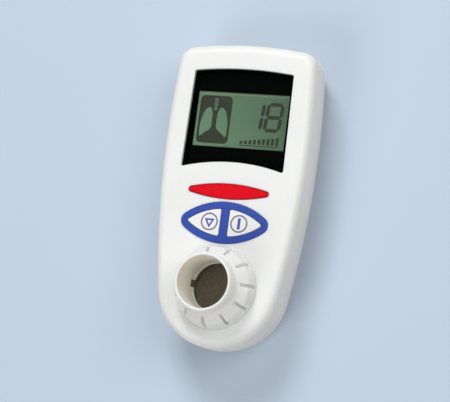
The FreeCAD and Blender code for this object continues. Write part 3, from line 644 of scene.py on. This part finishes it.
def print_plate(name: str, outlines: Iterable[Outline], base_mm: float, thick_mm: float) -> bpy.types.Object:
    """A thin flat plate with any number of outlines; an outline inside another is a hole.

    Args:
        name: The piece's name.
        outlines: The outlines, in millimetres.
        base_mm: The level of its underside.
        thick_mm: Its thickness.

    Returns:
        The mesh object.
    """
    curve = bpy.data.curves.new(name, "CURVE")
    curve.dimensions = "2D"
    curve.fill_mode = "BOTH"
    curve.extrude = thick_mm * MM / 2
    for outline in outlines:
        spline = curve.splines.new("POLY")
        spline.points.add(len(outline) - 1)
        for point, (x, y) in zip(spline.points, outline):
            point.co = (x * MM, y * MM, 0.0, 1.0)
        spline.use_cyclic_u = True
    drawn = bpy.data.objects.new(name + "_outline", curve)
    bpy.context.scene.collection.objects.link(drawn)
    bpy.context.view_layer.update()
    mesh = bpy.data.meshes.new_from_object(drawn.evaluated_get(bpy.context.evaluated_depsgraph_get()))
    for vertex in mesh.vertices:
        vertex.co.z += (base_mm + thick_mm / 2) * MM
    bpy.data.objects.remove(drawn)
    bpy.data.curves.remove(curve)
    mesh.name = name
    piece = bpy.data.objects.new(name, mesh)
    bpy.context.scene.collection.objects.link(piece)
    return piece


def finish_piece(piece: bpy.types.Object, material: bpy.types.Material, body: Body) -> None:
    """Gives a new piece its material and its body, and logs it.

    Args:
        piece: The piece.
        material: Its material.
        body: The body that it rides on.
    """
    piece.data.materials.clear()
    piece.data.materials.append(material)
    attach(piece, body.value)
    LOG.info("made %s on %s", piece.name, body.value)


class Segment(Enum):
    """The seven strokes of a digit."""

    TOP = "a"
    UPPER_RIGHT = "b"
    LOWER_RIGHT = "c"
    BOTTOM = "d"
    LOWER_LEFT = "e"
    UPPER_LEFT = "f"
    MIDDLE = "g"


DIGIT_STROKES = {
    0: "abcdef", 1: "bc", 2: "abged", 3: "abgcd", 4: "fgbc",
    5: "afgcd", 6: "afgedc", 7: "abc", 8: "abcdefg", 9: "abcdfg",
}


@dataclass
class Display:
    """The liquid crystal image: a dark tile with a lung sign left light, two digits and a bar scale."""

    thick: float = 0.03
    digit_height: float = 11.4
    digit_width: float = 6.3
    stroke: float = 1.6
    stroke_gap: float = 0.14
    slant: float = 0.08
    digits: tuple[int, int] = (1, 8)
    digits_x: tuple[float, float] = (6.0, 14.4)
    digits_y: float = 35.0
    bar_count: int = 9
    bar_pitch: float = 2.0
    bar_width: float = 1.3
    bar_start_x: float = 1.2
    bar_base_y: float = 22.8
    bar_height: float = 1.2
    bar_growth: float = 0.28
    bar_corner: float = 0.15
    base_line_drop: float = 0.6
    base_line_height: float = 0.35
    base_line_corner: float = 0.1
    tile_x: float = -12.2
    tile_y: float = 32.7
    tile_width: float = 14.6
    tile_height: float = 21.0
    tile_corner: float = 2.4
    lobe: tuple[Point, ...] = (
        (1.0, -3.6), (3.4, -4.9), (6.2, -7.6), (6.3, -1.0), (4.9, 4.4), (2.6, 6.6), (1.1, 4.0),
    )
    lobe_drop: float = 0.6
    lobe_corner: float = 1.7
    ring_count: int = 5
    ring_rise: float = 8.9
    ring_pitch: float = 1.1
    ring_width: float = 1.5
    ring_height: float = 0.7
    ring_corner: float = 0.2
    screen_top: float = field(init=False)

    def __post_init__(self) -> None:
        """Reads the glass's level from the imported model."""
        self.screen_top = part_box("lcd_panel")[1].z / MM

    def stroke_outline(self, segment: Segment, x: float, y: float) -> Outline:
        """One stroke of a digit.

        Args:
            segment: Which stroke.
            x: The digit's middle across.
            y: The digit's middle along.

        Returns:
            A long hexagon, slanted as the digit is.
        """
        half_w, half_h = self.digit_width / 2, self.digit_height / 2
        gap = self.stroke_gap
        level = {Segment.TOP: half_h, Segment.MIDDLE: 0.0, Segment.BOTTOM: -half_h}
        if segment in level:
            centre, along = (0.0, level[segment]), (1.0, 0.0)
            reach = half_w - gap
        else:
            side = 1 if segment in (Segment.UPPER_RIGHT, Segment.LOWER_RIGHT) else -1
            upper = 1 if segment in (Segment.UPPER_RIGHT, Segment.UPPER_LEFT) else -1
            centre, along = (side * half_w, upper * half_h / 2), (0.0, 1.0)
            reach = half_h / 2 - gap
        half = self.stroke / 2
        shape = [(-reach, 0), (-reach + half, -half), (reach - half, -half), (reach, 0), (reach - half, half),
                 (-reach + half, half)]
        points = []
        for u, v in shape:
            px = centre[0] + along[0] * u - along[1] * v
            py = centre[1] + along[1] * u + along[0] * v
            points.append((x + px + self.slant * py, y + py))
        return points

    def digit_outlines(self) -> list[Outline]:
        """The strokes of both digits."""
        return [
            self.stroke_outline(Segment(stroke), x, self.digits_y)
            for digit, x in zip(self.digits, self.digits_x)
            for stroke in DIGIT_STROKES[digit]
        ]

    def bar_outlines(self) -> list[Outline]:
        """A scale of bars that grow to the right, on a base line."""
        bars = []
        for i in range(self.bar_count):
            height = self.bar_height + self.bar_growth * i
            x = self.bar_start_x + i * self.bar_pitch
            bars.append(box_outline(x, self.bar_base_y + height / 2, self.bar_width, height, self.bar_corner))
        length = self.bar_count * self.bar_pitch
        middle = self.bar_start_x + (self.bar_count - 1) * self.bar_pitch / 2
        level = self.bar_base_y - self.base_line_drop
        bars.append(box_outline(middle, level, length, self.base_line_height, self.base_line_corner))
        return bars

    def lung_outlines(self) -> list[Outline]:
        """A dark tile in which a pair of lungs and the rings of a windpipe are left light."""
        tile = box_outline(self.tile_x, self.tile_y, self.tile_width, self.tile_height, self.tile_corner)
        outlines = [tile]
        for side in (-1, 1):
            corners = [(self.tile_x + side * x, self.tile_y - self.lobe_drop + y) for x, y in self.lobe]
            outlines.append(soft_corners(corners, self.lobe_corner))
        for i in range(self.ring_count):
            level = self.tile_y + self.ring_rise - self.ring_pitch * i
            ring = box_outline(self.tile_x, level, self.ring_width, self.ring_height, self.ring_corner)
            outlines.append(ring)
        return outlines

    def build(self, ink: bpy.types.Material) -> None:
        """Makes the image and lays it on the glass.

        Args:
            ink: The dark of a switched-on segment.
        """
        groups = {
            "lcd_digits": self.digit_outlines(),
            "lcd_bar_scale": self.bar_outlines(),
            "lcd_lung_sign": self.lung_outlines(),
        }
        for name, outlines in groups.items():
            piece = print_plate(name, outlines, self.screen_top, self.thick)
            finish_piece(piece, ink, Body.CASE)


@dataclass
class KeySigns:
    """The printed signs on the two keys: a triangle and an upright bar, each in a circle."""

    sign_x: float = 6.6
    circle_radius: float = 3.85
    line: float = 0.7
    triangle_side: float = 4.6
    triangle_line: float = 0.75
    triangle_corner: float = 0.25
    first_corner_degrees: float = 30.0
    bar_width: float = 1.25
    bar_height: float = 4.8
    bar_corner: float = 0.2
    thick: float = 0.02

    def ring(self, x: float, y: float) -> list[Outline]:
        """The circle round a sign."""
        return [circle((x, y), self.circle_radius), circle((x, y), self.circle_radius - self.line)]

    def triangle(self, x: float, y: float) -> list[Outline]:
        """A triangle that points down, drawn as a line."""
        turns = [math.radians(self.first_corner_degrees + 120 * i) for i in range(3)]
        shapes = []
        for shrink in (0.0, self.triangle_line * 2):
            reach = self.triangle_side / math.sqrt(3) - shrink
            corners = [(x + reach * math.cos(a), y + reach * math.sin(a)) for a in turns]
            shapes.append(soft_corners(corners, self.triangle_corner))
        return shapes

    def bar(self, x: float, y: float) -> list[Outline]:
        """An upright bar."""
        return [box_outline(x, y, self.bar_width, self.bar_height, self.bar_corner)]

    def build(self, ring_ink: bpy.types.Material, sign_ink: bpy.types.Material) -> None:
        """Makes both signs and lays them on their keys.

        Args:
            ring_ink: The ink of the circles.
            sign_ink: The ink of what stands in them.
        """
        for node, body, side in (("left_key", Body.LEFT_KEY, -1), ("right_key", Body.RIGHT_KEY, 1)):
            x, y = side * self.sign_x, middle_y(node)
            inner = self.triangle(x, y) if side < 0 else self.bar(x, y)
            for name, outlines, ink in (("_circle", self.ring(x, y), ring_ink), ("_sign", inner, sign_ink)):
                piece = print_plate(node + name, outlines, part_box(node)[1].z / MM, self.thick)
                finish_piece(piece, ink, body)


@dataclass
class PackedNodes:
    """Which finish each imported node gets."""

    smooth_degrees: float = 32.0

    def dress(self) -> None:
        """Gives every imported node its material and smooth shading."""
        white = MouldedPlastic("white_case", (241, 241, 239), translucency=0.5).material()
        spout = SpoutPlastic("breath_spout", (241, 241, 239), translucency=0.6).material()
        key_white = MouldedPlastic("key_plastic", (236, 237, 233), roughness=0.38, drift=0.01).material()
        black = MouldedPlastic("black_plastic", (14, 15, 15), roughness=0.5).material()
        tray = MouldedPlastic("bezel_black", (6, 7, 7), roughness=0.82, specular=0.02).material()
        blue = MouldedPlastic("blue_plastic", (44, 75, 168), roughness=0.4, drift=0.04, coat=0.1).material()
        red = BadgePlastic("red_plastic", (226, 8, 30), roughness=0.34, drift=0.03, grain_depth_mm=0.002,
                           coat=0.06, specular=0.14).material()
        dark = MouldedPlastic("dark_plastic", (132, 121, 105), roughness=0.6).material()
        guide = MouldedPlastic("light_guide", (218, 224, 220), roughness=0.55).material()
        rubber = MouldedPlastic("black_rubber", (30, 30, 31), roughness=0.75, grain_depth_mm=0.01).material()
        can = MouldedPlastic("sensor_can", (196, 198, 194), roughness=0.4).material()
        board = SolderMask().material()
        foam = OpenFoam("filter_foam", (184, 172, 152), (122, 113, 98)).material()
        steel = Metal("screw_steel", (190, 191, 192), (150, 150, 148)).material()
        contact = Metal("contact_metal", (206, 203, 192), (168, 162, 146), roughness=0.26).material()
        finishes = {
            "front_cover": white, "breath_spout": spout, "rear_cover": white, "battery_door": white,
            "display_window": ClearWindow().material(), "lcd_bezel": tray,
            "lcd_panel": LiquidCrystal().material(),
            "lcd_backlight": guide, "lcd_connector": rubber, "main_board": board, "key_frame": blue,
            "left_key": key_white, "right_key": key_white, "left_switch": black, "right_switch": black,
            "left_plunger": black, "right_plunger": black, "name_plate": red, "sample_chamber": dark,
            "dust_filter": foam, "port_seal": rubber, "sensor_seal": rubber, "hydrogen_sensor": can,
            "sensor_board": board, "sounder": black, "microcontroller": black, "case_screws": steel,
            "board_screws": steel, "battery_cells": CellSleeve().material(), "battery_contacts": contact,
        }
        for name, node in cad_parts.items():
            node.data.materials.clear()
            node.data.materials.append(finishes[name])
            smooth_by_angle(node, self.smooth_degrees)
            LOG.info("dressed %s with %s", name, finishes[name].name)


@dataclass(frozen=True)
class Softbox:
    """One square soft lamp that faces the object: its place and side in metres, its power in watts."""

    name: str
    place: tuple[float, float, float]
    size: float
    power: float

    def build(self) -> None:
        """Makes the lamp."""
        light = bpy.data.lights.new(self.name, "AREA")
        light.shape = "SQUARE"
        light.size = self.size
        light.energy = self.power
        lamp = bpy.data.objects.new(self.name, light)
        lamp.location = self.place
        lamp.rotation_euler = (-Vector(self.place)).to_track_quat("-Z", "Y").to_euler()
        bpy.context.scene.collection.objects.link(lamp)


@dataclass
class Studio:
    """The floor, the lamps, the world and the camera."""

    floor_size: float = 6.0
    floor_gap_mm: float = 0.2
    floor_colour: Colour = (191, 205, 221)
    bounce_colour: Colour = (206, 206, 204)
    world_colour: Colour = (248, 249, 250)
    world_strength: float = 0.32
    lamps: tuple[Softbox, ...] = (
        Softbox("key_lamp", (-0.2, 1.0, 1.05), 0.55, 10.6),
        Softbox("side_lamp", (0.9, 0.35, 1.15), 0.8, 6.4),
        Softbox("front_lamp", (-0.5, -1.0, 1.1), 0.8, 7.8),
    )
    camera_mm: tuple[float, float, float] = (246.3, -118.8, 741.4)
    camera_turn: tuple[float, float, float] = (11.232, 17.814, 7.927)
    lens_mm: float = 144.05
    sensor_mm: float = 36.0

    def floor(self) -> None:
        """A large pale floor under the resting face."""
        half = self.floor_size / 2
        level = CAD_BOX[0].z - self.floor_gap_mm * MM
        mesh = bpy.data.meshes.new("floor")
        corners = [(-half, -half, level), (half, -half, level), (half, half, level), (-half, half, level)]
        mesh.from_pydata(corners, [], [(0, 1, 2, 3)])
        plane = bpy.data.objects.new("floor", mesh)
        bpy.context.scene.collection.objects.link(plane)
        finish = Finish("floor", Roughness=0.9)
        seen = finish.node("ShaderNodeLightPath", out="Is Camera Ray")
        for ray in ("Is Glossy Ray", "Is Transmission Ray"):
            seen = seen.maths("MAXIMUM", finish.node("ShaderNodeLightPath", out=ray))
        finish.feed("Base Color", finish.blend(seen, self.bounce_colour, self.floor_colour))
        mesh.materials.append(finish.material)

    def world(self) -> None:
        """An even pale surround."""
        world = bpy.data.worlds.new("studio")
        world.use_nodes = True
        background = next(n for n in world.node_tree.nodes if n.type == "BACKGROUND")
        background.inputs["Color"].default_value = linear(self.world_colour)
        background.inputs["Strength"].default_value = self.world_strength
        bpy.context.scene.world = world

    def camera(self) -> None:
        """The camera at the photograph's viewing angle."""
        data = bpy.data.cameras.new("camera")
        data.sensor_width = self.sensor_mm
        data.lens = self.lens_mm
        data.clip_start, data.clip_end = 0.01, 20.0
        camera = bpy.data.objects.new("camera", data)
        camera.location = [value * MM for value in self.camera_mm]
        camera.rotation_euler = Euler([math.radians(value) for value in self.camera_turn])
        bpy.context.scene.collection.objects.link(camera)
        bpy.context.scene.camera = camera

    def build(self) -> None:
        """Sets up the whole studio."""
        self.floor()
        self.world()
        for softbox in self.lamps:
            softbox.build()
        self.camera()
        bpy.context.scene.view_settings.view_transform = "Standard"


def main() -> None:
    """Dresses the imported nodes, adds the printed pieces and sets up the studio."""
    logging.basicConfig(level=logging.INFO, format="%(message)s")
    Studio().build()
    PackedNodes().dress()
    Display().build(Ink("lcd_segment", (46, 45, 35), (58, 58, 45)).material())
    ring_ink = Ink("circle_ink", (112, 110, 142), (134, 132, 160)).material()
    KeySigns().build(ring_ink, Ink("sign_ink", (74, 74, 168), (92, 92, 180)).material())


if __name__ == "__main__":
    main()
